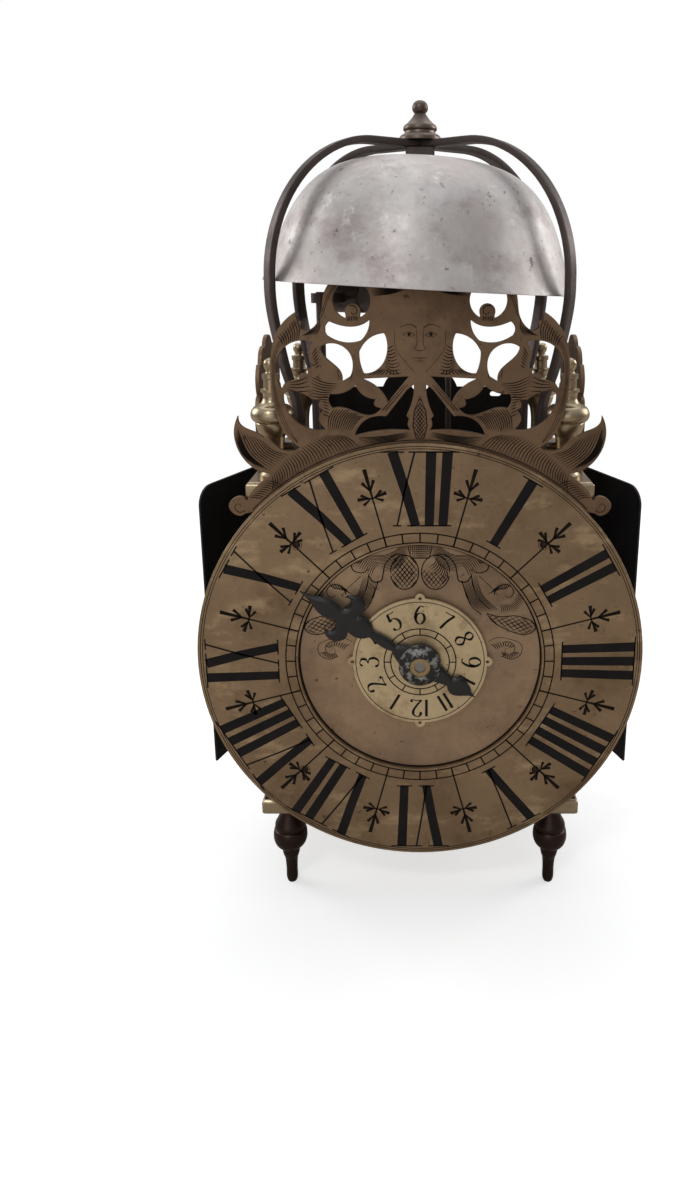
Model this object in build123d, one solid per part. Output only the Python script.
"""Lantern clock: a brass four-post frame with a wide round dial, a bell in an iron strap cage,
pierced frets, black side doors and a weight-driven movement with a strike and an alarm.

Millimetres. +Z is up, the front looks towards -Y, +X is to the right as seen from the front.
The origin is on the surface that the feet stand on, under the middle of the frame.
"""
import os
from math import atan2, cos, degrees, hypot, pi, radians, sin, sqrt

from build123d import *

# ------------------------------------------------------------------ fits
running_fit = 0.05          # radial clearance of a shaft in its bore
seat_fit = 0.02             # radial clearance of a stud or rivet that stays where it is put
loose_gap = 0.3             # between pieces that pass each other

# ------------------------------------------------------------------ frame
foot_height = 45.0
bottom_plate_thickness = 8.0
top_plate_thickness = 7.5
pillar_height = 149.5
plate_width = 151.5
plate_depth = 105.0
plate_edge_chamfer = 1.2
pillar_inset_side = 11.15   # pillar axis to the side edge of the plates
pillar_inset_front = 11.0   # pillar axis to the front and rear edges
pillar_radius = 4.6
pillar_cap_radius = 6.4
stud_radius = 2.5           # threaded stud at each end of a pillar
stud_reach = 7.0            # how far a stud enters a foot or a finial
finial_height = 52.8
finial_flange_radius = 9.5

pillar_x = plate_width / 2 - pillar_inset_side
pillar_y = plate_depth / 2 - pillar_inset_front
z_pillar = foot_height + bottom_plate_thickness
z_top_plate = z_pillar + pillar_height
z_deck = z_top_plate + top_plate_thickness
corners = {
    "front_left": (-pillar_x, -pillar_y),
    "front_right": (pillar_x, -pillar_y),
    "rear_left": (-pillar_x, pillar_y),
    "rear_right": (pillar_x, pillar_y),
}

# ------------------------------------------------------------------ dial, hand and front fret
dial_z = 128.7              # centre of the dial above the ground
ring_radius = 100.0
ring_inner_radius = 54.8
ring_thickness = 2.0
dial_plate_radius = 98.0
dial_plate_thickness = 1.5
fret_thickness = 2.0
ring_post_x = 53.6          # riveted posts that hold the ring to the dial plate
ring_post_z = 55.0
ring_post_radius = 1.6
ring_post_tail = 2.5        # behind the dial plate
dial_screw_x = 42.0
dial_screw_radius = 1.5
dial_screw_head_radius = 2.9
dial_screw_depth = 8.0      # into the edge of the plates
dial_washer_radius = 4.0
alarm_disc_radius = 30.3
alarm_disc_thickness = 1.4
alarm_disc_lift = 1.5       # from the dial plate to the back of the alarm disc
alarm_tab_radius = 2.3
hand_lift = 1.3             # from the alarm disc to the back of the hand
hand_thickness = 1.5
hand_length = 63.0
hand_tail_length = 29.6
hand_angle = 146.6          # from +X towards +Z: shows about seven minutes past ten
hand_boss_radius = 9.5
hand_boss_height = 3.5
stud_end_recess = 0.8

y_plate_front = -plate_depth / 2
y_fret_front = y_plate_front - fret_thickness
y_dial_plate_front = y_fret_front - dial_plate_thickness
y_ring_front = y_dial_plate_front - ring_thickness
y_alarm_back = y_dial_plate_front - alarm_disc_lift
y_alarm_front = y_alarm_back - alarm_disc_thickness
y_hand_back = y_alarm_front - hand_lift
y_hand_front = y_hand_back - hand_thickness
y_boss_front = y_hand_front - hand_boss_height
y_pipe_front = y_boss_front + 1.0
z_dial_screws = (z_top_plate + top_plate_thickness / 2, foot_height + bottom_plate_thickness / 2)

# ------------------------------------------------------------------ bell and its cage
bell_radius = 72.6
bell_height = 57.0
bell_wall = 2.6
bell_rim_rise = 81.7         # above the deck
bell_tilt = 3.0             # the bell hangs a little low on the right
bell_shift = 2.1            # and its crown stands this far right of the stud
bell_gap = 0.5              # between the rim and the legs of the cage
strap_width = 7.0
strap_thickness = 3.0
strap_top_rise = 146.5       # above the deck
strap_flat_reach = 25.0     # half length of the flat top
strap_shoulder_rise = 85.0   # where the shoulder becomes a leg, above the deck
strap_foot_reach = 64.4     # middle of a leg's foot
strap_foot_length = 10.0
strap_screw_radius = 1.5
strap_screw_depth = 6.0
strap_screw_inset = 6.0     # from the inside of a leg to its screw
bell_stud_radius = 3.0
bell_hole_radius = 5.6
bell_collar_width = 13.0
bell_nut_width = 14.0
bell_nut_height = 4.0
bell_finial_height = 17.1
bell_rim_z = z_deck + bell_rim_rise
strap_top_z = z_deck + strap_top_rise
strap_shoulder_z = z_deck + strap_shoulder_rise
bell_crown_z = bell_rim_z + bell_height
# The rim swings left as the bell tilts; the legs clear it on that side.
bell_rim_left = bell_height * sin(radians(bell_tilt)) - bell_shift
strap_reach = bell_radius + bell_rim_left + bell_gap + strap_thickness / 2
strap_angle = degrees(atan2(pillar_y, pillar_x))   # the bars cross over the frame's diagonals

# ------------------------------------------------------------------ side frets
side_fret_length = 62.0
side_fret_height = 60.0
side_fret_inset = 1.2       # from the plate's edge to the outside of the fret
fret_screw_radius = 1.3
fret_screw_depth = 5.0
side_fret_x = plate_width / 2 - side_fret_inset - fret_thickness

# ------------------------------------------------------------------ doors
door_width = 83.0
door_height = 141.5
door_thickness = 1.2
door_corner_radius = 9.0
door_rod_radius = 1.5
door_rod_wall = 1.0         # of the tube that is rolled round the hinge rod
door_rod_inset = 3.2        # hinge rod to the side edge of the plates
door_rod_y = pillar_y + 5.0
door_top_gap = 0.6
door_open_angle = 21.0      # as the clock stands
door_rod_x = plate_width / 2 - door_rod_inset
z_door_top = z_top_plate - door_top_gap
z_door_bottom = z_door_top - door_height

# ------------------------------------------------------------------ back plate
back_plate_thickness = 1.4
back_plate_half_width = 60.0
back_plate_rise = 28.0      # above the deck
hanging_tongue_half_width = 22.0
hanging_tongue_rise = 42.0
hanging_hole_radius = 5.0
hanging_hole_rise = 30.0
back_slot_x = 41.7
back_slot_rise = 24.0
back_screw_x = 50.0
back_screw_radius = 1.5
spur_x = 40.0
spur_z = 72.0
spur_radius = 2.6
spur_length = 11.3
y_back_plate = plate_depth / 2

# ------------------------------------------------------------------ movement bars
bar_width = 26.0
bar_thickness = 3.0
bar_tenon_width = 10.0
bar_tenon_depth = 5.0
y_front_bar = -38.0         # front faces of the three bars
y_middle_bar = -1.5
y_rear_bar = 32.0
pivot_radius = 1.0
great_arbor_radius = 2.0
arbor_radius = 1.5

# ------------------------------------------------------------------ wheels: module, teeth
motion_module, report_leaves, hour_teeth = 1.0, 6, 72
great_module, great_teeth, pinion_leaves = 0.9, 60, 6
train_module, second_teeth, hoop_teeth = 0.8, 48, 54
count_module, count_leaves, count_teeth = 0.6, 8, 78
escape_teeth = 15
escape_radius = 14.0
wheel_thickness = 2.2
count_thickness = 1.6
pinion_length = 5.0
pulley_radius = 13.0
pulley_groove_radius = 9.5
pulley_width = 9.0
strike_pin_radius = 1.0
strike_pin_circle = 22.0
strike_pin_count = 8
anchor_rise = 19.0          # escape arbor to anchor arbor
anchor_gap = 1.1            # pallets stand this far off the escape wheel
pendulum_length = 85.0
pendulum_bob_radius = 10.0
pendulum_bob_thickness = 7.0
pendulum_y = 43.0
rope_slot_length = 36.0
rope_slot_width = 7.0

hour_pipe_radius = 4.5
hour_stud_radius = 2.6
hour_wheel_y = -47.2        # front face of the hour wheel
going_great_y = -22.0
second_wheel_y = -12.0
escape_wheel_y = -6.2
strike_great_y = 8.0
hoop_wheel_y = 26.0
count_wheel_y = 35.6
going_pulley_y = -33.0
strike_pulley_y = 14.2
second_arbor_x = 10.0
hoop_arbor_x = -8.0
strike_arbor_x = -8.0
fly_arbor_x = 2.0
count_arbor_x = 4.0
fly_vane_radius = 11.0
fly_vane_y = 6.0
fly_vane_length = 14.0


def beside(start, reach, x):
    """The (x, z) point at the given X that lies at a distance from a start point, above it."""
    return (x, start[1] + sqrt(reach ** 2 - (x - start[0]) ** 2))


hour_axis = (0.0, dial_z)
going_axis = (0.0, dial_z - motion_module * (report_leaves + hour_teeth) / 2)
second_axis = beside(going_axis, great_module * (great_teeth + pinion_leaves) / 2, second_arbor_x)
escape_axis = beside(second_axis, train_module * (second_teeth + pinion_leaves) / 2, 0.0)
anchor_axis = (escape_axis[0], escape_axis[1] + anchor_rise)
strike_axis = (strike_arbor_x, going_axis[1])
hoop_axis = beside(strike_axis, great_module * (great_teeth + pinion_leaves) / 2, hoop_arbor_x)
fly_axis = beside(hoop_axis, train_module * (hoop_teeth + pinion_leaves) / 2, fly_arbor_x)
count_axis = beside(strike_axis, count_module * (count_leaves + count_teeth) / 2, count_arbor_x)

# ------------------------------------------------------------------ hammers and alarm
hammer_x, hammer_y = -50.0, 22.0
hammer_arbor_radius = 2.2
hammer_below_rim = 5.2      # middle of the strike hammer's head
hammer_z = bell_rim_z - hammer_below_rim
hammer_arm = (14.0, 21.0)   # from the arbor to the head
hammer_head_radius = 8.0
hammer_head_length = 19.0
hammer_tail_length = 14.5
hammer_tail_angle = -31.0   # from +X, as the hammer rests
alarm_x = 15.0
alarm_arbor_radius = 1.6
alarm_above_rim = 14.3      # middle of the alarm hammer's head
alarm_hammer_z = bell_rim_z + alarm_above_rim
alarm_arm_side = 14.5       # from the arbor to the head, sideways
alarm_inside_rim = 25.1     # how far in front of the rim's rear the head strikes
alarm_head_radius = 4.0
alarm_head_length = 10.0
alarm_wheel_drop = 20.5     # its middle, below the top plate
alarm_wheel_z = z_top_plate - alarm_wheel_drop
alarm_wheel_radius = 15.0
alarm_wheel_teeth = 13
alarm_tooth_depth = 1.7     # the teeth of the crown wheel look towards the verge
alarm_pallet_length = 3.4
alarm_pulley_radius = 9.0
alarm_pulley_width = 5.6
alarm_rope_slot = (24.0, 5.0)
alarm_bracket_width = 9.0
alarm_bracket_thickness = 1.6
alarm_stud_radius = 2.0
alarm_rivet_radius = 1.2
alarm_rivet_steps = (-23.5, 12.0)   # from the middle of the wheel
alarm_rivets = [alarm_wheel_z + step for step in alarm_rivet_steps]
alarm_back_gap = 0.5        # between the rope pulley and its bracket
alarm_tooth_gap = 0.4       # between the verge and the points of the teeth
# Forward from the back plate: the bracket, the pulley, the crown wheel's disc and teeth, the verge.
y_alarm_bracket = y_back_plate - alarm_bracket_thickness
y_alarm_pulley = y_alarm_bracket - alarm_back_gap - alarm_pulley_width
y_alarm_wheel = y_alarm_pulley - alarm_bracket_thickness
y_alarm_teeth = y_alarm_wheel - alarm_tooth_depth
alarm_y = y_alarm_teeth - alarm_tooth_gap - alarm_arbor_radius
alarm_arm = (alarm_arm_side, bell_radius - alarm_inside_rim - alarm_y)
z_alarm_step = alarm_wheel_z - alarm_wheel_radius - 6.0


# ================================================================== helpers
def outline(*stretches):
    """A face round a closed line; a stretch of two points is straight, a longer one a smooth curve."""
    edges = [Line(*points) if len(points) == 2 else Spline(*points) for points in stretches]
    return make_face(Curve() + edges)


def turned(*stretches):
    """A body turned about Z from stretches of (radius, height), which run from one end to the other."""
    edges = [Line(*points) if len(points) == 2 else Spline(*points) for points in stretches]
    first, last = stretches[0][0], stretches[-1][-1]
    if last[0] > 0:
        edges.append(Line(last, (0, last[1])))
    edges.append(Line((0, last[1]), (0, first[1])))
    if first[0] > 0:
        edges.append(Line((0, first[1]), first))
    return revolve(Plane.XZ * make_face(Curve() + edges), Axis.Z)


def plate_y(face, front, thickness, centre=(0.0, 0.0)):
    """A face drawn in (x, z) about a centre, made into a plate from its front towards the back."""
    return Pos(centre[0], front, centre[1]) * extrude(Plane.XZ * face, -thickness)


def rod_y(radius, front, back, axis):
    """A round rod along Y."""
    return plate_y(Circle(radius), front, back - front, axis)


def rod_z(radius, low, high, x=0.0, y=0.0):
    """A round rod along Z."""
    return Pos(x, y, low) * extrude(Circle(radius), high - low)


def polar(radius, angle):
    """A point at a radius and an angle in degrees."""
    return (radius * cos(radians(angle)), radius * sin(radians(angle)))


def mirrored(points):
    """The same outline on the other side, in reverse, so that it carries on from the first."""
    return [(-x, z) for x, z in reversed(points)]


def both_sides(face):
    """A face and its mirror image."""
    return [face, mirror(face, Plane.YZ)]


def toothed(module, teeth, shares, addendum, dedendum, phase=0.0):
    """A toothed disc; shares are a tooth's thickness at its root, pitch circle and tip, in pitches."""
    pitch_radius = module * teeth / 2
    pitch = 360 / teeth
    radii = (pitch_radius - dedendum * module, pitch_radius, pitch_radius + addendum * module)
    points = []
    for tooth in range(teeth):
        middle = phase + tooth * pitch
        points += [polar(r, middle - s * pitch / 2) for r, s in zip(radii, shares)]
        points += [polar(r, middle + s * pitch / 2) for r, s in reversed(list(zip(radii, shares)))]
    return make_face(Polyline(*points, close=True))


wheel_shares = (0.50, 0.40, 0.12)
pinion_shares = (0.42, 0.36, 0.16)


def wheel(module, teeth, mate_angle, bore):
    """A crossed-out wheel with a tooth towards its mate."""
    disc = toothed(module, teeth, wheel_shares, 1.0, 1.3, mate_angle)
    rim = module * (teeth / 2 - 1.3) - 2.8
    hub = bore + 3.2
    windows = Circle(rim) - Circle(hub)
    spoke_width = 2.4
    for quarter in (0, 90):
        windows -= Rot(0, 0, mate_angle + quarter) * Rectangle(3 * rim, spoke_width)
    return disc - windows - Circle(bore)


def pinion(module, leaves, mate_angle):
    """A solid pinion with a gap towards its mate."""
    return toothed(module, leaves, pinion_shares, 0.8, 1.25, mate_angle + 180 / leaves)


def bearing_to(start, end):
    """The angle in degrees from one (x, z) point to another."""
    return degrees(atan2(end[1] - start[1], end[0] - start[0]))


def save(node, *solids):
    """Write one node; several solids share a node only when they are one kind of fitting."""
    shape = solids[0] if len(solids) == 1 else Compound(children=list(solids))
    export_step(shape, f"parts/{node}.step")


os.makedirs("parts", exist_ok=True)

# ================================================================== frame
y_going_slot = going_pulley_y + pulley_width / 2
y_strike_slot = strike_pulley_y + pulley_width / 2
bars = {"front_bar": y_front_bar, "middle_bar": y_middle_bar, "rear_bar": y_rear_bar}


def frame_plate(low, thickness):
    """A plate of the frame with its pillar holes, bar mortises and hinge holes."""
    plate = Pos(0, 0, low + thickness / 2) * Box(plate_width, plate_depth, thickness)
    rim = plate.edges().filter_by(Axis.Z, reverse=True)
    plate = chamfer(rim, plate_edge_chamfer)
    high = low + thickness
    for x, y in corners.values():
        plate -= rod_z(stud_radius + seat_fit, low, high, x, y)
    for side in (-1, 1):
        plate -= rod_z(door_rod_radius + seat_fit, low, high, side * door_rod_x, door_rod_y)
    return plate


def mortise(y, low, high):
    """The hole in a plate for a movement bar's tenon."""
    size = (bar_tenon_width + 2 * seat_fit, bar_thickness + 2 * seat_fit)
    return Pos(0, y + bar_thickness / 2, (low + high) / 2) * Box(*size, high - low)


bottom_plate = frame_plate(foot_height, bottom_plate_thickness)
top_plate = frame_plate(z_top_plate, top_plate_thickness)
for y in bars.values():
    bottom_plate -= mortise(y, z_pillar - bar_tenon_depth, z_pillar)
    top_plate -= mortise(y, z_top_plate, z_top_plate + bar_tenon_depth)
for x, y in ((going_axis[0], y_going_slot), (strike_axis[0], y_strike_slot)):
    slot = Pos(x, y, foot_height) * extrude(SlotOverall(rope_slot_length, rope_slot_width),
                                            bottom_plate_thickness)
    bottom_plate -= slot
bottom_plate -= Pos(alarm_x, y_alarm_pulley + alarm_pulley_width / 2, foot_height) * extrude(
    SlotOverall(*alarm_rope_slot), bottom_plate_thickness)
bottom_plate -= rod_z(pivot_radius + running_fit, z_pillar - 4, z_pillar, hammer_x, hammer_y)
top_plate -= rod_z(hammer_arbor_radius + running_fit, z_top_plate, z_deck, hammer_x, hammer_y)
top_plate -= rod_z(alarm_arbor_radius + running_fit, z_top_plate, z_deck, alarm_x, alarm_y)


def screw_hole_y(x, z, radius, depth, front):
    """A blind hole into the front or rear edge of a plate."""
    return rod_y(radius, front, front + depth, (x, z))


for side in (-1, 1):
    for z in z_dial_screws:
        hole = screw_hole_y(side * dial_screw_x, z, dial_screw_radius + seat_fit,
                            dial_screw_depth, y_plate_front)
        top_plate -= hole
        bottom_plate -= hole
    for z in z_dial_screws:
        hole = screw_hole_y(side * back_screw_x, z, back_screw_radius + seat_fit,
                            dial_screw_depth, y_back_plate - dial_screw_depth)
        top_plate -= hole
        bottom_plate -= hole


def pillar(x, y):
    """A turned pillar with a cap at each end and a stud through each plate."""
    cap = pillar_cap_radius
    half = [(cap, 0), (cap, 4), (cap - 1.6, 5), (cap - 1.6, 7), (cap - 0.4, 8), (cap - 0.4, 10)]
    low = [(a, b) for a, b in zip(half, half[1:])]
    high = [((r2, pillar_height - h2), (r1, pillar_height - h1)) for (r1, h1), (r2, h2) in reversed(low)]
    shoulder = 10.0
    shaft = [(half[-1]), (pillar_radius, shoulder + 4), (pillar_radius + 0.5, pillar_height / 2),
             (pillar_radius, pillar_height - shoulder - 4), (half[-1][0], pillar_height - half[-1][1])]
    body = Pos(x, y, z_pillar) * turned(*low, shaft, *high)
    body += rod_z(stud_radius, foot_height - stud_reach, z_pillar, x, y)
    body += rod_z(stud_radius, z_top_plate, z_deck + stud_reach, x, y)
    return body


def finial(x, y):
    """A corner finial: a base, a cup with a broad flange and a stepped spire with a ball."""
    flange = finial_flange_radius
    top = finial_height
    body = turned(
        [(6.8, 0), (6.8, 1.6)],
        [(6.8, 1.6), (4.9, 4.0), (4.3, 8.5), (4.6, 15.0), (5.2, 18.5)],
        [(5.2, 18.5), (7.0, 22.5), (7.4, 24.6)],
        [(7.4, 24.6), (7.1, 25.1)],
        [(7.1, 25.1), (flange - 0.5, 26.4), (flange, 28.2), (flange - 0.8, 30.8), (7.2, 32.2)],
        [(7.2, 32.2), (6.4, 32.4)],
        [(6.4, 32.4), (4.2, 34.4), (4.0, 38.0)],
        [(4.0, 38.0), (4.8, 38.2)],
        [(4.8, 38.2), (4.8, 39.4)],
        [(4.8, 39.4), (3.4, 39.8)],
        [(3.4, 39.8), (3.3, 43.6)],
        [(3.3, 43.6), (3.9, 44.0)],
        [(3.9, 44.0), (3.9, 46.0)],
        [(3.9, 46.0), (2.3, 46.6), (2.2, 47.8)],
        [(2.2, 47.8), (2.9, 49.4), (2.7, 51.4), (1.4, top - 0.2), (0, top)],
    )
    body = Pos(x, y, z_deck) * body
    return body - rod_z(stud_radius + seat_fit, z_deck, z_deck + stud_reach + loose_gap, x, y)


def foot(x, y):
    """A turned foot: a neck, a ringed bulb and a long toe with a small flat end."""
    down = foot_height
    body = turned(
        [(2.2, 0), (2.5, 0.8), (2.8, 5.5), (2.9, 10.0), (3.3, 14.0)],
        [(3.3, 14.0), (4.2, 17.0), (4.3, 19.5)],
        [(4.3, 19.5), (4.9, 20.3)],
        [(4.9, 20.3), (7.6, 23.0), (8.3, 27.5), (7.8, 30.2)],
        [(7.8, 30.2), (7.1, 30.8)],
        [(7.1, 30.8), (7.4, 32.6), (6.9, 34.2)],
        [(6.9, 34.2), (5.2, 37.5), (3.9, 41.0), (3.7, down)],
    )
    body = Pos(x, y, 0) * body
    return body - rod_z(stud_radius + seat_fit, down - stud_reach - loose_gap, down, x, y)


for corner, (x, y) in corners.items():
    save(f"pillar_{corner}", pillar(x, y))
    save(f"finial_{corner}", finial(x, y))
    save(f"foot_{corner}", foot(x, y))


def movement_bar(y, *holes):
    """An upright bar between the plates; holes are (axis, radius) pairs."""
    width = bar_tenon_width
    bar = Pos(0, y + bar_thickness / 2, z_pillar + pillar_height / 2) * Box(
        bar_width, bar_thickness, pillar_height)
    for low in (z_pillar - bar_tenon_depth + loose_gap, z_top_plate):
        length = bar_tenon_depth - loose_gap
        bar += Pos(0, y + bar_thickness / 2, low + length / 2) * Box(width, bar_thickness, length)
    for axis, radius in holes:
        bar -= rod_y(radius, y, y + bar_thickness, axis)
    return bar


pivot_hole = pivot_radius + running_fit
save("front_bar", movement_bar(
    y_front_bar, (going_axis, great_arbor_radius + running_fit), (second_axis, pivot_hole),
    (escape_axis, pivot_hole), (anchor_axis, pivot_hole), (hour_axis, hour_stud_radius + seat_fit)))
save("middle_bar", movement_bar(
    y_middle_bar, (going_axis, arbor_radius + running_fit), (second_axis, pivot_hole),
    (escape_axis, pivot_hole), (anchor_axis, arbor_radius + 1.0),
    (strike_axis, arbor_radius + running_fit), (hoop_axis, pivot_hole), (fly_axis, pivot_hole)))
rear_bar = movement_bar(
    y_rear_bar, (strike_axis, arbor_radius + running_fit), (hoop_axis, pivot_hole),
    (fly_axis, pivot_hole), (anchor_axis, arbor_radius + running_fit))

# ================================================================== dial
ring_face = Circle(ring_radius) - Circle(ring_inner_radius)
post_places = [(sx * ring_post_x, sz * ring_post_z) for sx in (-1, 1) for sz in (-1, 1)]
for place in post_places:
    ring_face -= Pos(*place) * Circle(ring_post_radius + seat_fit)
save("chapter_ring", plate_y(ring_face, y_ring_front, ring_thickness, hour_axis))

screw_places = [(side * dial_screw_x, z - dial_z) for side in (-1, 1) for z in z_dial_screws]
dial_face = Circle(dial_plate_radius) - Circle(hour_pipe_radius + loose_gap)
for place in post_places:
    dial_face -= Pos(*place) * Circle(ring_post_radius + seat_fit)
for place in screw_places:
    dial_face -= Pos(*place) * Circle(dial_screw_head_radius + seat_fit)
save("dial_plate", plate_y(dial_face, y_dial_plate_front, dial_plate_thickness, hour_axis))

posts = [rod_y(ring_post_radius, y_ring_front, y_fret_front + ring_post_tail,
               (x, z + dial_z)) for x, z in post_places]
save("ring_posts", *posts)


def dial_screw(x, z):
    """A screw with its head flush in the dial plate; the lower pair have a collar in the fret's place."""
    screw = rod_y(dial_screw_head_radius, y_dial_plate_front, y_fret_front, (x, z))
    screw += rod_y(dial_screw_radius, y_fret_front, y_plate_front + dial_screw_depth, (x, z))
    if z < dial_z:
        screw += rod_y(dial_washer_radius, y_fret_front, y_plate_front, (x, z))
    return screw


save("dial_screws", *[dial_screw(side * dial_screw_x, z) for side in (-1, 1) for z in z_dial_screws])

alarm_face = Circle(alarm_disc_radius)
for quarter in range(4):
    alarm_face += Pos(*polar(alarm_disc_radius, 90 * quarter)) * Circle(alarm_tab_radius)
for quarter in range(4):
    alarm_face -= Pos(*polar(alarm_disc_radius, 90 * quarter)) * Circle(0.7)
alarm_face -= Circle(hour_pipe_radius + running_fit)
save("alarm_disc", plate_y(alarm_face, y_alarm_back - alarm_disc_thickness,
                           alarm_disc_thickness, hour_axis))

# ================================================================== hour hand
# Drawn along +X: the stem, a pair of curling leaves and a pointed tip; the tail is one slim leaf.
stem_upper = [
    [(0, 5.6), (8.0, 5.0), (14.0, 1.6)],
    [(14.0, 1.6), (18.0, 2.5), (22.5, 2.2), (26.0, 1.7)],
    [(26.0, 1.7), (29.0, 4.4), (33.5, 5.0), (36.0, 4.2)],
    [(36.0, 4.2), (34.5, 8.0), (37.5, 11.6), (42.5, 11.4), (45.0, 8.0)],
    [(45.0, 8.0), (42.0, 8.6), (41.2, 5.6), (44.5, 3.6)],
    [(44.5, 3.6), (49.0, 4.3), (53.5, 3.2)],
    [(53.5, 3.2), (58.0, 1.3), (hand_length, 0.35)],
]
tail_upper = [
    [(-hand_tail_length, 0.3), (-26.0, 1.6), (-22.0, 4.2), (-19.0, 4.6)],
    [(-19.0, 4.6), (-17.0, 3.4), (-16.0, 2.2)],
    [(-16.0, 2.2), (-11.0, 3.6), (0, 5.6)],
]
upper = tail_upper + stem_upper
lower = [[(x, -z) for x, z in reversed(stretch)] for stretch in reversed(upper)]
tips = [[upper[-1][-1], lower[0][0]], [lower[-1][-1], upper[0][0]]]
hand_face = outline(*upper, tips[0], *lower, tips[1])
hand_face += Circle(hand_boss_radius)
hand_face -= Circle(hour_pipe_radius + seat_fit)
hand_face = Rot(0, 0, hand_angle) * hand_face
save("hour_hand", plate_y(hand_face, y_hand_front, hand_thickness, hour_axis))

boss = turned(
    [(hand_boss_radius, 0), (hand_boss_radius, 1.2)],
    [(hand_boss_radius, 1.2), (hand_boss_radius - 1.2, 2.6), (hour_pipe_radius + 1.2, hand_boss_height)],
)
boss -= Pos(0, 0, -1) * extrude(Circle(hour_pipe_radius + seat_fit), hand_boss_height + 2)
save("hand_boss", Pos(0, y_hand_front, dial_z) * Rot(90, 0, 0) * boss)

# ================================================================== front fret
# The right half in (x, height above the middle of the dial); the left half mirrors it.
fret_foot = z_top_plate - dial_z
crown_half = 19.6
crown_base = 168.0
scallop_count = 7
scallop_radius = 2.5
volute_centre, volute_radius = (28.0, 158.8), 7.7
volute_ball, volute_ball_radius = (27.6, 154.2), 3.3

fret_edge = [
    [(0, fret_foot), (60.0, fret_foot)],
    [(60.0, fret_foot), (67.5, 70.2), (76.0, 68.0)],
    [(76.0, 68.0), (78.5, 67.0), (82.9, 71.4), (78.5, 75.8), (74.9, 73.8)],
    [(74.9, 73.8), (73.4, 77.0), (68.6, 82.0), (63.8, 86.0)],
    [(63.8, 86.0), (69.5, 87.2), (75.6, 92.6), (79.0, 102.5), (76.8, 111.2)],
    [(76.8, 111.2), (75.4, 106.6), (71.5, 104.6), (66.4, 101.6)],
    [(66.4, 101.6), (64.6, 102.4)],
    [(64.6, 102.4), (61.8, 98.6), (57.0, 95.9), (51.2, 97.4)],
    [(51.2, 97.4), (57.2, 103.2), (61.2, 114.0), (62.4, 131.0), (60.4, 143.0), (50.6, 154.4)],
    [(50.6, 154.4), (50.2, 151.0), (48.4, 150.2)],
    [(48.4, 150.2), (49.0, 147.6), (46.6, 146.4)],
    [(46.6, 146.4), (43.2, 148.6), (40.6, 153.6), (39.6, 160.6), (35.6, 167.0), (29.8, 169.8),
     (24.4, 169.4), (crown_half, crown_base)],
]
crown_line = [(crown_half, crown_base), (0, crown_base + 1.6), (-crown_half, crown_base)]
fret_left = [mirrored(stretch) for stretch in reversed(fret_edge)]
fret_face = outline(*fret_edge, crown_line, *fret_left)
for scallop in range(scallop_count):
    x = (scallop - (scallop_count - 1) / 2) * 2 * crown_half / scallop_count
    crown_rise = 1.6 * (1 - (x / crown_half) ** 2)
    fret_face += Pos(x, crown_base + crown_rise) * Circle(scallop_radius)

fret_holes = {
    "volute_gap": [
        [(37.4, 150.2), (33.0, 148.6), (28.4, 148.0), (24.0, 148.8), (20.8, 150.8)],
        [(20.8, 150.8), (21.6, 146.6), (24.6, 142.4)],
        [(24.6, 142.4), (30.0, 141.6), (38.4, 144.6)],
        [(38.4, 144.6), (39.2, 147.4), (37.4, 150.2)],
    ],
    "cheek_gap": [
        [(14.8, 145.4), (19.8, 144.0), (25.2, 137.8)],
        [(25.2, 137.8), (24.8, 133.0), (23.4, 128.8)],
        [(23.4, 128.8), (16.6, 131.6), (13.8, 137.4), (14.8, 145.4)],
    ],
    "leaf_eye": [
        [(41.4, 139.6), (35.4, 141.2), (29.6, 137.8), (28.0, 132.0), (29.2, 127.6)],
        [(29.2, 127.6), (32.4, 125.6)],
        [(32.4, 125.6), (33.6, 130.4), (38.2, 134.6), (41.4, 139.6)],
    ],
    "upper_ring": [
        [(44.2, 141.6), (49.4, 142.4), (55.2, 140.4), (59.4, 134.4), (60.0, 127.6), (58.0, 122.6)],
        [(58.0, 122.6), (54.6, 125.6), (50.4, 126.2)],
        [(50.4, 126.2), (50.0, 128.6), (46.8, 128.6)],
        [(46.8, 128.6), (46.6, 130.4), (44.4, 131.6)],
        [(44.4, 131.6), (46.2, 136.6), (44.2, 141.6)],
    ],
    "lower_ring": [
        [(57.2, 120.4), (53.6, 121.6), (49.2, 120.4), (45.2, 117.9)],
        [(45.2, 117.9), (41.8, 117.8)],
        [(41.8, 117.8), (42.6, 115.0), (40.6, 113.4)],
        [(40.6, 113.4), (42.6, 110.8), (40.0, 105.2)],
        [(40.0, 105.2), (46.2, 105.4), (53.6, 109.8), (57.2, 120.4)],
    ],
    "leaf_gap": [
        [(37.6, 120.2), (33.4, 120.4), (27.0, 123.8)],
        [(27.0, 123.8), (23.4, 119.4), (18.6, 118.0)],
        [(18.6, 118.0), (19.4, 116.0), (16.2, 114.2)],
        [(16.2, 114.2), (21.8, 111.2), (29.4, 113.6), (36.8, 114.2)],
        [(36.8, 114.2), (38.4, 117.4), (37.6, 120.2)],
    ],
    "beard_gap": [
        [(24.0, 126.6), (4.6, 127.6)],
        [(4.6, 127.6), (13.4, 116.8)],
        [(13.4, 116.8), (14.8, 119.6), (24.0, 126.6)],
    ],
    "stem_gap": [
        [(27.6, 102.6), (23.8, 108.6), (14.2, 110.8)],
        [(14.2, 110.8), (5.4, 122.0)],
        [(5.4, 122.0), (2.6, 124.2)],
        [(2.6, 124.2), (3.4, 117.0), (5.8, 111.0)],
        [(5.8, 111.0), (4.6, 109.6)],
        [(4.6, 109.6), (5.2, 107.0), (4.0, 104.8)],
        [(4.0, 104.8), (14.0, 105.0), (27.6, 102.6)],
    ],
}
for hole in fret_holes.values():
    for face in both_sides(outline(*hole)):
        fret_face -= face
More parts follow.
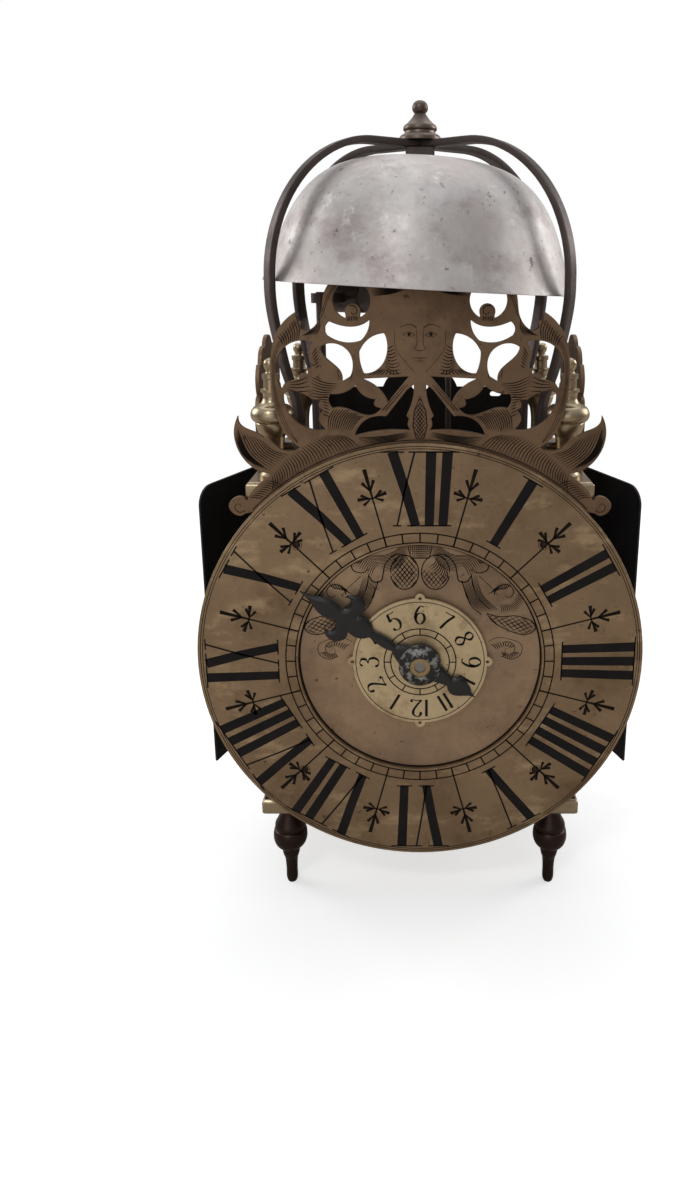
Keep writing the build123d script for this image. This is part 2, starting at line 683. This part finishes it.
volute = Pos(*volute_centre) * Circle(volute_radius) - Pos(*volute_ball) * Circle(volute_ball_radius)
volute -= Pos(volute_ball[0], volute_centre[1] - volute_radius) * Rectangle(2 * volute_ball_radius - 0.6, 7)
for face in both_sides(volute):
    fret_face -= face
for side in (-1, 1):
    hole = Pos(side * dial_screw_x, z_dial_screws[0] - dial_z) * Circle(dial_screw_radius + seat_fit)
    fret_face -= hole
save("front_fret", plate_y(fret_face, y_fret_front, fret_thickness, hour_axis))

# ================================================================== side frets
half_length = side_fret_length / 2
side_edge = [
    [(0, 0), (half_length - 1.5, 0)],
    [(half_length - 1.5, 0), (half_length, 4.0), (half_length - 4.0, 9.0)],
    [(half_length - 4.0, 9.0), (half_length - 0.6, 16.0), (half_length, 25.0), (half_length - 2.6, 33.0)],
    [(half_length - 2.6, 33.0), (half_length - 5.4, 34.4)],
    [(half_length - 5.4, 34.4), (half_length - 4.0, 41.0), (half_length - 8.0, 48.0)],
    [(half_length - 8.0, 48.0), (half_length - 11.0, 47.4)],
    [(half_length - 11.0, 47.4), (16.0, 54.0), (11.0, 55.4)],
    [(11.0, 55.4), (9.0, 53.6)],
    [(9.0, 53.6), (5.0, 58.8), (0, side_fret_height)],
]
side_left = [mirrored(stretch) for stretch in reversed(side_edge)]
side_face = outline(*side_edge, *side_left)
side_holes = [
    [[(3.0, 12.0), (7.0, 8.0), (18.0, 8.6), (23.0, 13.0)],
     [(23.0, 13.0), (16.0, 15.0), (11.0, 19.0), (8.0, 24.0)],
     [(8.0, 24.0), (5.0, 19.0), (3.0, 12.0)]],
    [[(14.0, 24.0), (18.0, 19.6), (24.0, 19.0), (26.4, 24.0), (24.0, 30.0), (18.0, 31.4), (14.0, 24.0)]],
    [[(3.0, 34.0), (7.0, 30.0), (11.6, 34.0), (17.0, 37.4)],
     [(17.0, 37.4), (16.6, 42.6), (11.0, 44.6)],
     [(11.0, 44.6), (6.0, 41.0), (3.0, 34.0)]],
]
for hole in side_holes:
    for face in both_sides(outline(*hole)):
        side_face -= face
side_plate = extrude(Plane.YZ * side_face, fret_thickness)
lug_size = 8.0
lug_thickness = 1.6
fret_screws = []
for side, name in ((-1, "left"), (1, "right")):
    x = side_fret_x if side > 0 else -side_fret_x - fret_thickness
    fret = Pos(x, 0, z_deck) * side_plate
    for end in (-1, 1):
        screw_x, screw_y = side * (side_fret_x - lug_size / 2), end * (half_length - 8)
        lug = Pos(screw_x, screw_y, z_deck + lug_thickness / 2) * Box(lug_size, lug_size, lug_thickness)
        fret += lug
        fret -= rod_z(fret_screw_radius + seat_fit, z_deck, z_deck + lug_thickness, screw_x, screw_y)
        top_plate -= rod_z(fret_screw_radius + seat_fit, z_deck - fret_screw_depth, z_deck,
                           screw_x, screw_y)
        shank = rod_z(fret_screw_radius, z_deck - fret_screw_depth, z_deck + lug_thickness,
                      screw_x, screw_y)
        head = rod_z(2 * fret_screw_radius, z_deck + lug_thickness,
                     z_deck + lug_thickness + 1.4, screw_x, screw_y)
        fret_screws.append(shank + head)
    save(f"side_fret_{name}", fret)

# ================================================================== bell cage
# A bar's middle line in (reach from the middle, height): flat top, round shoulders, legs drawn in.
middle_top = strap_top_z - strap_thickness / 2
leg_foot = z_deck + strap_thickness
# Below the rim a leg is drawn in to pass the spire and the flange of its corner finial.
leg_line = [(strap_reach - 0.4, z_deck + 74.0), (72.2, z_deck + 58.0), (69.0, z_deck + 45.0),
            (65.4, z_deck + 34.0), (strap_foot_reach, z_deck + 24.0)]


def strap_side(offset):
    """One face of half a bar at an offset from its middle line, from the crossing to the deck."""
    rise = middle_top + offset - strap_shoulder_z
    run = strap_reach + offset - strap_flat_reach
    shoulder = [(strap_flat_reach + run * sin(radians(a)), strap_shoulder_z + rise * cos(radians(a)))
                for a in (0, 22.5, 45, 67.5, 90)]
    leg = [shoulder[-1], *[(reach + offset, z) for reach, z in leg_line]]
    low = z_deck if offset > 0 else leg_foot
    return [[(0, middle_top + offset), shoulder[0]], shoulder, leg, [leg[-1], (leg[-1][0], low)]]


def reverse(stretches):
    """The same stretches run the other way."""
    return [list(reversed(stretch)) for stretch in reversed(stretches)]


half_strap = strap_thickness / 2
foot_tip = strap_foot_reach - half_strap - strap_foot_length
outer = strap_side(half_strap)
inner = strap_side(-half_strap)
foot_line = [
    [outer[-1][-1], (foot_tip, z_deck)],
    [(foot_tip, z_deck), (foot_tip, leg_foot)],
    [(foot_tip, leg_foot), inner[-1][-1]],
]
right_half = outer + foot_line + reverse(inner)
left_half = [[(-x, z) for x, z in stretch] for stretch in reverse(right_half)]
strap_face = outline(*right_half, *left_half)
strap_solid = extrude(Plane.XZ * strap_face, strap_width / 2, both=True)
screw_reach = strap_foot_reach - half_strap - strap_screw_inset
strap_screws = []
straps = {}
for name, angle in (("a", strap_angle), ("b", -strap_angle)):
    strap = Rot(0, 0, angle) * strap_solid
    strap -= rod_z(bell_stud_radius + seat_fit, strap_top_z - strap_thickness, strap_top_z)
    for way in (0, 180):
        x, y = polar(screw_reach, angle + way)
        strap -= rod_z(strap_screw_radius + seat_fit, z_deck, leg_foot, x, y)
        top_plate -= rod_z(strap_screw_radius + seat_fit, z_deck - strap_screw_depth, z_deck, x, y)
        shank = rod_z(strap_screw_radius, z_deck - strap_screw_depth, leg_foot, x, y)
        head = rod_z(2 * strap_screw_radius, leg_foot, leg_foot + 1.8, x, y)
        strap_screws.append(shank + head)
    straps[name] = strap
# The bars are halved into each other where they cross: one keeps its top half, one its lower half.
crossing = 2.2 * strap_width
middle_band = Box(2 * crossing, 2 * crossing, half_strap)
upper_half = Pos(0, 0, strap_top_z - half_strap / 2) * middle_band
lower_half = Pos(0, 0, strap_top_z - 1.5 * half_strap) * middle_band
halving = extrude(Rot(0, 0, strap_angle) * Rectangle(4 * crossing, strap_width), 400)
halving_b = extrude(Rot(0, 0, -strap_angle) * Rectangle(4 * crossing, strap_width), 400)
save("bell_strap_a", straps["a"] - (lower_half & halving_b))
save("bell_strap_b", straps["b"] - (upper_half & halving))

# ================================================================== bell
bell_outer = [(0, bell_height), (25.5, bell_height - 1.4), (45.0, bell_height - 8.0),
              (57.0, bell_height - 20.0), (64.0, bell_height - 34.0), (bell_radius - 3.0, 7.0),
              (bell_radius, 0)]
lip = bell_wall + 1.4
bell_inner = [(bell_radius - lip, 0), (bell_radius - lip - 2.6, 7.0),
              (64.0 - bell_wall, bell_height - 34.6), (57.0 - bell_wall, bell_height - 21.6),
              (44.2, bell_height - 8.0 - bell_wall), (25.1, bell_height - 1.4 - bell_wall),
              (0, bell_height - bell_wall)]
bell_face = outline(bell_outer, [bell_outer[-1], bell_inner[0]], bell_inner,
                    [bell_inner[-1], bell_outer[0]])
bell = Pos(0, 0, -bell_height) * revolve(Plane.XZ * bell_face, Axis.Z)
bell = Pos(bell_shift, 0, bell_crown_z) * Rot(0, bell_tilt, 0) * bell
bell -= rod_z(bell_hole_radius, bell_crown_z - 8, bell_crown_z + 8)
save("bell", bell)

# The stud hangs from the finial through the crossing; a square collar stands over the bell's
# crown and a square nut under it.
tilt_room = bell_nut_width * 0.71 * sin(radians(bell_tilt)) + loose_gap
nut_high = bell_crown_z - bell_wall - tilt_room
stud_low = nut_high - bell_nut_height - 2.0
stud_high = strap_top_z + bell_finial_height * 0.4
collar_low = bell_crown_z + tilt_room
collar_height = strap_top_z - strap_thickness - collar_low
bell_stud = rod_z(bell_stud_radius, stud_low, stud_high)
bell_stud += Pos(0, 0, collar_low + collar_height / 2) * Box(
    bell_collar_width, bell_collar_width, collar_height)
bell_nut = Pos(0, 0, nut_high - bell_nut_height / 2) * Box(
    bell_nut_width, bell_nut_width, bell_nut_height)
save("bell_stud", bell_stud, bell_nut - rod_z(bell_stud_radius + seat_fit, stud_low, nut_high))

top_finial = turned(
    [(9.6, 0), (9.6, 1.0)],
    [(9.6, 1.0), (8.8, 2.2), (7.0, 3.0)],
    [(7.0, 3.0), (6.8, 4.2)],
    [(6.8, 4.2), (7.5, 4.6), (7.6, 5.6), (6.8, 6.8)],
    [(6.8, 6.8), (4.4, 9.0), (2.7, 11.4)],
    [(2.7, 11.4), (2.4, 11.8)],
    [(2.4, 11.8), (3.4, 13.0), (3.5, 14.8), (2.2, 16.7), (0, bell_finial_height)],
)
top_finial = Pos(0, 0, strap_top_z) * top_finial
save("bell_finial", top_finial - rod_z(bell_stud_radius + seat_fit, strap_top_z,
                                       stud_high + loose_gap))

# ================================================================== doors
tube_radius = door_rod_radius + door_rod_wall
for side, name in ((-1, "left"), (1, "right")):
    sheet = Pos(0, -door_width / 2, 0) * Rectangle(door_thickness, door_width)
    door = extrude(sheet, door_height)
    tube_low = z_pillar + loose_gap - z_door_bottom
    door += rod_z(tube_radius, tube_low, door_height)
    free_corner = door.edges().filter_by(Axis.X).group_by(Axis.Y)[0].group_by(Axis.Z)[-1]
    door = fillet(free_corner, door_corner_radius)
    door -= rod_z(door_rod_radius + running_fit, tube_low, door_height)
    hinge = Pos(side * door_rod_x, door_rod_y, z_door_bottom) * Rot(0, 0, side * door_open_angle)
    save(f"door_{name}", hinge * door)
    save(f"door_rod_{name}", rod_z(door_rod_radius, foot_height + 1.0, z_deck - 1.0,
                                   side * door_rod_x, door_rod_y))

# ================================================================== back plate and wall fittings
tongue = hanging_tongue_half_width
sheet_height = z_deck + back_plate_rise - foot_height
back_face = Pos(0, foot_height + sheet_height / 2) * Rectangle(2 * back_plate_half_width, sheet_height)
tongue_face = Pos(0, z_deck + hanging_tongue_rise - tongue) * Circle(tongue)
back_face += tongue_face
back_face = fillet([v for v in back_face.vertices()
                    if v.Y > z_deck and abs(v.X) > back_plate_half_width - 1], 8.0)
hanging_z = z_deck + hanging_hole_rise
back_face -= Pos(0, hanging_z) * Circle(hanging_hole_radius)
back_face -= Pos(back_slot_x, z_deck + back_slot_rise) * SlotOverall(6.0, 2.6)
for side in (-1, 1):
    for z in z_dial_screws:
        back_face -= Pos(side * back_screw_x, z) * Circle(back_screw_radius + seat_fit)
    back_face -= Pos(side * spur_x, spur_z) * Circle(spur_radius / 2 + seat_fit)
for z in alarm_rivets:
    back_face -= Pos(alarm_x, z) * Circle(alarm_rivet_radius + seat_fit)
save("back_plate", plate_y(back_face, y_back_plate, back_plate_thickness))

back_screws = []
for side in (-1, 1):
    for z in z_dial_screws:
        place = (side * back_screw_x, z)
        screw = rod_y(back_screw_radius, y_back_plate - dial_screw_depth + loose_gap,
                      y_back_plate + back_plate_thickness, place)
        head_front = y_back_plate + back_plate_thickness
        screw += rod_y(2 * back_screw_radius, head_front, head_front + 1.8, place)
        back_screws.append(screw)
save("frame_screws", *strap_screws, *fret_screws, *back_screws)

spurs = []
for side in (-1, 1):
    spur = turned([(spur_radius / 2, -back_plate_thickness), (spur_radius / 2, 0)],
                  [(spur_radius / 2, 0), (spur_radius, 0)],
                  [(spur_radius, 0), (spur_radius, 2.0)],
                  [(spur_radius, 2.0), (0.5, spur_length)])
    spurs.append(Pos(side * spur_x, y_back_plate + back_plate_thickness, spur_z) * Rot(-90, 0, 0) * spur)
save("wall_spurs", *spurs)

# ================================================================== motion work
report_to_hour = bearing_to(going_axis, hour_axis)
hour_face = wheel(motion_module, hour_teeth, report_to_hour + 180, hour_pipe_radius - 1.0)
hour_bore = Circle(hour_stud_radius + running_fit)
hour_wheel = plate_y(hour_face, hour_wheel_y, wheel_thickness, hour_axis)
hour_wheel += rod_y(hour_pipe_radius, y_pipe_front, hour_wheel_y + wheel_thickness, hour_axis)
hour_wheel -= plate_y(hour_bore, y_pipe_front, hour_wheel_y + wheel_thickness - y_pipe_front, hour_axis)
save("hour_wheel", hour_wheel)

hour_stud = rod_y(hour_stud_radius, y_pipe_front + stud_end_recess, y_front_bar + bar_thickness, hour_axis)
collar_front = hour_wheel_y + wheel_thickness + loose_gap
hour_stud += rod_y(hour_stud_radius + 2.4, collar_front, y_front_bar, hour_axis)
save("hour_stud", hour_stud)

# ================================================================== going train
wheel_middle = wheel_thickness / 2


def arbor(axis, radius, front, back, pivot_front, pivot_back):
    """A plain arbor between two bars with a thin pivot in each."""
    body = rod_y(radius, front, back, axis)
    body += rod_y(pivot_radius, pivot_front, front, axis)
    return body + rod_y(pivot_radius, back, pivot_back, axis)


middle_front = y_middle_bar - loose_gap
front_back = y_front_bar + bar_thickness + loose_gap
middle_back = y_middle_bar + bar_thickness + loose_gap
rear_front = y_rear_bar - loose_gap
front_pivot_end = y_front_bar + 0.4
middle_pivot_front = y_middle_bar + 0.3
middle_pivot_back = y_middle_bar + bar_thickness - 0.3
rear_pivot_end = y_rear_bar + bar_thickness - 0.4


def pinion_at(y, length, module, leaves, axis, mate_angle):
    """A pinion along an arbor."""
    return plate_y(pinion(module, leaves, mate_angle), y, length, axis)


going_to_second = bearing_to(going_axis, second_axis)
second_to_escape = bearing_to(second_axis, escape_axis)
report_front = hour_wheel_y - 1.0
going_arbor = rod_y(great_arbor_radius, y_front_bar - 1.0, middle_front, going_axis)
going_arbor += rod_y(arbor_radius, middle_front, middle_pivot_back, going_axis)
going_arbor += pinion_at(report_front, y_front_bar - 1.0 - report_front, motion_module,
                         report_leaves, going_axis, report_to_hour)
save("going_arbor", going_arbor)
great_face = wheel(great_module, great_teeth, going_to_second, great_arbor_radius + seat_fit)
save("going_great_wheel", plate_y(great_face, going_great_y, wheel_thickness, going_axis))


def rope_pulley(y, axis, bore):
    """A rope pulley with a hollow groove between two rims."""
    low, high = 0, pulley_width
    body = turned([(pulley_radius, low), (pulley_radius, 1.6)],
                  [(pulley_radius, 1.6), (pulley_groove_radius, pulley_width / 2),
                   (pulley_radius, high - 1.6)],
                  [(pulley_radius, high - 1.6), (pulley_radius, high)])
    body = Pos(axis[0], y, axis[1]) * Rot(-90, 0, 0) * body
    return body - rod_y(bore, y, y + pulley_width, axis)


save("going_pulley", rope_pulley(going_pulley_y, going_axis, great_arbor_radius + seat_fit))

second_arbor = arbor(second_axis, arbor_radius, front_back, middle_front, front_pivot_end,
                     middle_pivot_front + 1.0)
second_arbor += pinion_at(going_great_y + wheel_middle - pinion_length / 2, pinion_length, great_module,
                          pinion_leaves, second_axis, going_to_second + 180)
second_face = wheel(train_module, second_teeth, second_to_escape, arbor_radius)
save("second_wheel", second_arbor + plate_y(second_face, second_wheel_y, wheel_thickness, second_axis))

escape_arbor = arbor(escape_axis, arbor_radius, front_back, middle_front, front_pivot_end,
                     middle_pivot_front + 1.0)
escape_arbor += pinion_at(second_wheel_y + wheel_middle - pinion_length / 2, pinion_length, train_module,
                          pinion_leaves, escape_axis, second_to_escape + 180)


def escape_face():
    """The escape wheel: thin raked teeth on a crossed-out rim."""
    root = escape_radius - 4.0
    pitch = 360 / escape_teeth
    points = []
    for tooth in range(escape_teeth):
        start = 90 + tooth * pitch
        points += [polar(root, start), polar(escape_radius, start + 0.35 * pitch),
                   polar(escape_radius, start + 0.41 * pitch), polar(root, start + 0.5 * pitch)]
    windows = Circle(root - 2.0) - Circle(4.2)
    for quarter in (45, 135):
        windows -= Rot(0, 0, quarter) * Rectangle(3 * root, 2.0)
    return make_face(Polyline(*points, close=True)) - windows - Circle(arbor_radius)


escape_wheel = plate_y(escape_face(), escape_wheel_y, wheel_thickness, escape_axis)
save("escape_wheel", escape_arbor + escape_wheel)

# The anchor spans the top of the escape wheel; its arbor runs through to the back for the pendulum.
pallet_span = escape_radius + anchor_gap
pallet_angle = 32.0
nib_left = polar(pallet_span, 90 + pallet_angle)
nib_right = polar(pallet_span, 90 - pallet_angle)
anchor_face = Circle(3.2)
anchor_local = (0, anchor_rise)
arm_width = 2.6
for nib in (nib_left, nib_right):
    shoulder_point = (nib[0] * 1.45, nib[1] + 3.4)
    for start, end in ((anchor_local, shoulder_point), (shoulder_point, nib)):
        a = (start[0], start[1] - anchor_rise)
        b = (end[0], end[1] - anchor_rise)
        length = hypot(b[0] - a[0], b[1] - a[1])
        middle = ((a[0] + b[0]) / 2, (a[1] + b[1]) / 2)
        turn = degrees(atan2(b[1] - a[1], b[0] - a[0]))
        anchor_face += Pos(*middle) * Rot(0, 0, turn) * SlotOverall(length + arm_width, arm_width)
anchor_face -= Pos(0, -anchor_rise) * Circle(pallet_span)
anchor = plate_y(anchor_face, escape_wheel_y, wheel_thickness, anchor_axis)
anchor_back = pendulum_y + 2.0
anchor += rod_y(arbor_radius, front_back, anchor_back, anchor_axis)
anchor += rod_y(pivot_radius, front_pivot_end, front_back, anchor_axis)
save("anchor", anchor)

pendulum_hub = 3.4
rod_half = 1.1
pendulum = plate_y(Circle(pendulum_hub), pendulum_y - 1.6, 3.2, anchor_axis)
pendulum += rod_z(rod_half, anchor_axis[1] - pendulum_length, anchor_axis[1] - pendulum_hub + 1.0,
                  anchor_axis[0], pendulum_y)
bob = turned([(0, 0), (pendulum_bob_radius * 0.6, 0.4), (pendulum_bob_radius, 3.0)],
             [(pendulum_bob_radius, 3.0), (pendulum_bob_radius, pendulum_bob_thickness - 3.0)],
             [(pendulum_bob_radius, pendulum_bob_thickness - 3.0),
              (pendulum_bob_radius * 0.6, pendulum_bob_thickness - 0.4), (0, pendulum_bob_thickness)])
pendulum += Pos(anchor_axis[0], pendulum_y - pendulum_bob_thickness / 2,
                anchor_axis[1] - pendulum_length) * Rot(-90, 0, 0) * bob
pendulum -= rod_y(arbor_radius + seat_fit, pendulum_y - 2, pendulum_y + 2, anchor_axis)
save("pendulum", pendulum)

# ================================================================== strike train
strike_to_hoop = bearing_to(strike_axis, hoop_axis)
hoop_to_fly = bearing_to(hoop_axis, fly_axis)
strike_to_count = bearing_to(strike_axis, count_axis)
strike_arbor = rod_y(great_arbor_radius, middle_back, rear_front, strike_axis)
strike_arbor += rod_y(arbor_radius, middle_pivot_back - 1.0, middle_back, strike_axis)
strike_arbor += rod_y(arbor_radius, rear_front, y_rear_bar + bar_thickness + loose_gap, strike_axis)
strike_arbor += pinion_at(y_rear_bar + bar_thickness + loose_gap, pinion_length - 1.0, count_module,
                          count_leaves, strike_axis, strike_to_count)
save("strike_arbor", strike_arbor)
strike_face = wheel(great_module, great_teeth, strike_to_hoop, great_arbor_radius + seat_fit)
strike_wheel = plate_y(strike_face, strike_great_y, wheel_thickness, strike_axis)
for pin in range(strike_pin_count):
    px, pz = polar(strike_pin_circle, 22.5 + 360 / strike_pin_count * pin)
    strike_wheel += rod_y(strike_pin_radius, strike_great_y, strike_great_y + wheel_thickness + 3.0,
                          (strike_axis[0] + px, strike_axis[1] + pz))
save("strike_great_wheel", strike_wheel)
save("strike_pulley", rope_pulley(strike_pulley_y, strike_axis, great_arbor_radius + seat_fit))

hoop = arbor(hoop_axis, arbor_radius, middle_back, rear_front, middle_pivot_back - 1.0, rear_pivot_end)
hoop += pinion_at(strike_great_y + wheel_middle - pinion_length / 2, pinion_length, great_module,
                  pinion_leaves, hoop_axis, strike_to_hoop + 180)
hoop_face = wheel(train_module, hoop_teeth, hoop_to_fly, arbor_radius)
hoop += plate_y(hoop_face, hoop_wheel_y, wheel_thickness, hoop_axis)
save("hoop_wheel", hoop)

fly = arbor(fly_axis, arbor_radius, middle_back, rear_front, middle_pivot_back - 1.0, rear_pivot_end)
fly += pinion_at(hoop_wheel_y + wheel_middle - pinion_length / 2, pinion_length, train_module,
                 pinion_leaves, fly_axis, hoop_to_fly + 180)
fly += Pos(fly_axis[0], fly_vane_y + fly_vane_length / 2, fly_axis[1]) * Box(
    2 * fly_vane_radius, fly_vane_length, 0.8)
save("fly", fly)

# The count wheel's rim is notched after 1, 2, 3 ... 12 blows.
count_face = toothed(count_module, count_teeth, wheel_shares, 1.0, 1.3,
                     strike_to_count + 180) - Circle(arbor_radius + running_fit)
count_wheel = plate_y(count_face, count_wheel_y, count_thickness, count_axis)
rim_radius = count_module * count_teeth / 2 - 3.0
count_rim = Circle(rim_radius) - Circle(rim_radius - 2.6)
blows = 0
for hour in range(1, 13):
    blows += hour
    angle = 360 * blows / 78
    count_rim -= Pos(*polar(rim_radius, angle)) * Rot(0, 0, angle) * Rectangle(7.0, 1.5)
count_wheel += plate_y(count_rim, count_wheel_y, count_thickness + 1.8, count_axis)
save("count_wheel", count_wheel)
count_head = count_wheel_y + count_thickness
rear_bar += rod_y(arbor_radius, y_rear_bar + bar_thickness, count_head + 2 * running_fit, count_axis)
rear_bar += rod_y(arbor_radius + 1.6, count_head + running_fit, count_head + 1.2, count_axis)
save("rear_bar", rear_bar)

# ================================================================== hammers
hammer_tail_z = strike_axis[1]
hammer_arbor = rod_z(hammer_arbor_radius, z_pillar + loose_gap, hammer_z + 3.0, hammer_x, hammer_y)
hammer_arbor += rod_z(pivot_radius, z_pillar - 4 + loose_gap, z_pillar + loose_gap, hammer_x, hammer_y)
tail = Pos(hammer_tail_length / 2, 0, 0) * Box(hammer_tail_length, 2.0, 3.0)
hammer_arbor += Pos(hammer_x, hammer_y, hammer_tail_z) * Rot(0, 0, hammer_tail_angle) * tail
save("hammer_arbor", hammer_arbor)


def hammer(x, y, z, arm, bore, arm_height, head_radius, head_length):
    """A hammer on an upright arbor: an eye, a flat arm and a round head lying along its swing."""
    reach = hypot(*arm)
    turn = degrees(atan2(arm[1], arm[0]))
    eye = extrude(Circle(bore + 2.4), arm_height, both=True)
    bar = Pos(reach / 2, 0, 0) * Box(reach, arm_height, 2 * arm_height)
    head = Pos(reach, 0, 0) * Rot(90, 0, 0) * extrude(Circle(head_radius), head_length / 2, both=True)
    head = chamfer(head.edges().filter_by(GeomType.CIRCLE), 1.2)
    body = eye + bar + head - extrude(Circle(bore), arm_height, both=True)
    return Pos(x, y, z) * Rot(0, 0, turn) * body


save("strike_hammer", hammer(hammer_x, hammer_y, hammer_z, hammer_arm,
                             hammer_arbor_radius + seat_fit, 2.4, hammer_head_radius,
                             hammer_head_length))

# The alarm's crown wheel turns on a bracket of the back plate; its hammer stands on a verge.
verge = rod_z(alarm_arbor_radius, z_alarm_step + loose_gap, alarm_hammer_z + 2.0, alarm_x, alarm_y)
verge += rod_z(pivot_radius, z_alarm_step - 1.6, z_alarm_step + loose_gap, alarm_x, alarm_y)
pallet_reach = alarm_wheel_radius - 1.0
for way in (-1, 1):
    verge += Pos(alarm_x + way * alarm_pallet_length / 2, alarm_y,
                 alarm_wheel_z + way * pallet_reach) * Box(alarm_pallet_length, 0.8, 5.0)
save("alarm_verge", verge)
save("alarm_hammer", hammer(alarm_x, alarm_y, alarm_hammer_z, alarm_arm,
                            alarm_arbor_radius + seat_fit, 1.6, alarm_head_radius, alarm_head_length))

alarm_axis = (alarm_x, alarm_wheel_z)
alarm_bore = alarm_stud_radius + running_fit
alarm_wheel = rod_y(alarm_wheel_radius, y_alarm_wheel, y_alarm_pulley, alarm_axis)
crown = Circle(alarm_wheel_radius) - Circle(alarm_wheel_radius - 1.6)
for tooth in range(alarm_wheel_teeth):
    turn = 360 / alarm_wheel_teeth * tooth
    gap_width = pi * alarm_wheel_radius / alarm_wheel_teeth
    crown -= Rot(0, 0, turn) * Pos(alarm_wheel_radius, 0) * Rectangle(6.0, gap_width)
alarm_wheel += plate_y(crown, y_alarm_teeth, alarm_tooth_depth, alarm_axis)
alarm_pulley = turned(
    [(alarm_pulley_radius, 0), (alarm_pulley_radius, 1.0)],
    [(alarm_pulley_radius, 1.0), (alarm_pulley_radius - 2.6, alarm_pulley_width / 2),
     (alarm_pulley_radius, alarm_pulley_width - 1.0)],
    [(alarm_pulley_radius, alarm_pulley_width - 1.0), (alarm_pulley_radius, alarm_pulley_width)])
alarm_wheel += Pos(alarm_x, y_alarm_pulley, alarm_wheel_z) * Rot(-90, 0, 0) * alarm_pulley
y_pulley_back = y_alarm_pulley + alarm_pulley_width
save("alarm_wheel", alarm_wheel - rod_y(alarm_bore, y_alarm_teeth, y_pulley_back, alarm_axis))

bracket_low = z_alarm_step - 5.0
bracket_high = alarm_rivets[1] + 4.0
bracket = Pos(alarm_x, y_alarm_bracket + alarm_bracket_thickness / 2,
              (bracket_low + bracket_high) / 2) * Box(
                  alarm_bracket_width, alarm_bracket_thickness, bracket_high - bracket_low)
step_front = alarm_y - 3.0
bracket += Pos(alarm_x, (step_front + y_back_plate) / 2, z_alarm_step - 1.0) * Box(
    alarm_bracket_width, y_back_plate - step_front, 2.0)
bracket -= rod_z(pivot_radius + running_fit, z_alarm_step - 2.0, z_alarm_step, alarm_x, alarm_y)
bracket += rod_y(alarm_stud_radius, y_alarm_wheel - running_fit, y_alarm_bracket, alarm_axis)
bracket += rod_y(alarm_stud_radius + 1.2, y_alarm_wheel - 1.2, y_alarm_wheel - running_fit, alarm_axis)
for z in alarm_rivets:
    bracket += rod_y(alarm_rivet_radius, y_back_plate, y_back_plate + back_plate_thickness,
                     (alarm_x, z))
save("alarm_bracket", bracket)

save("bottom_plate", bottom_plate)
save("top_plate", top_plate)
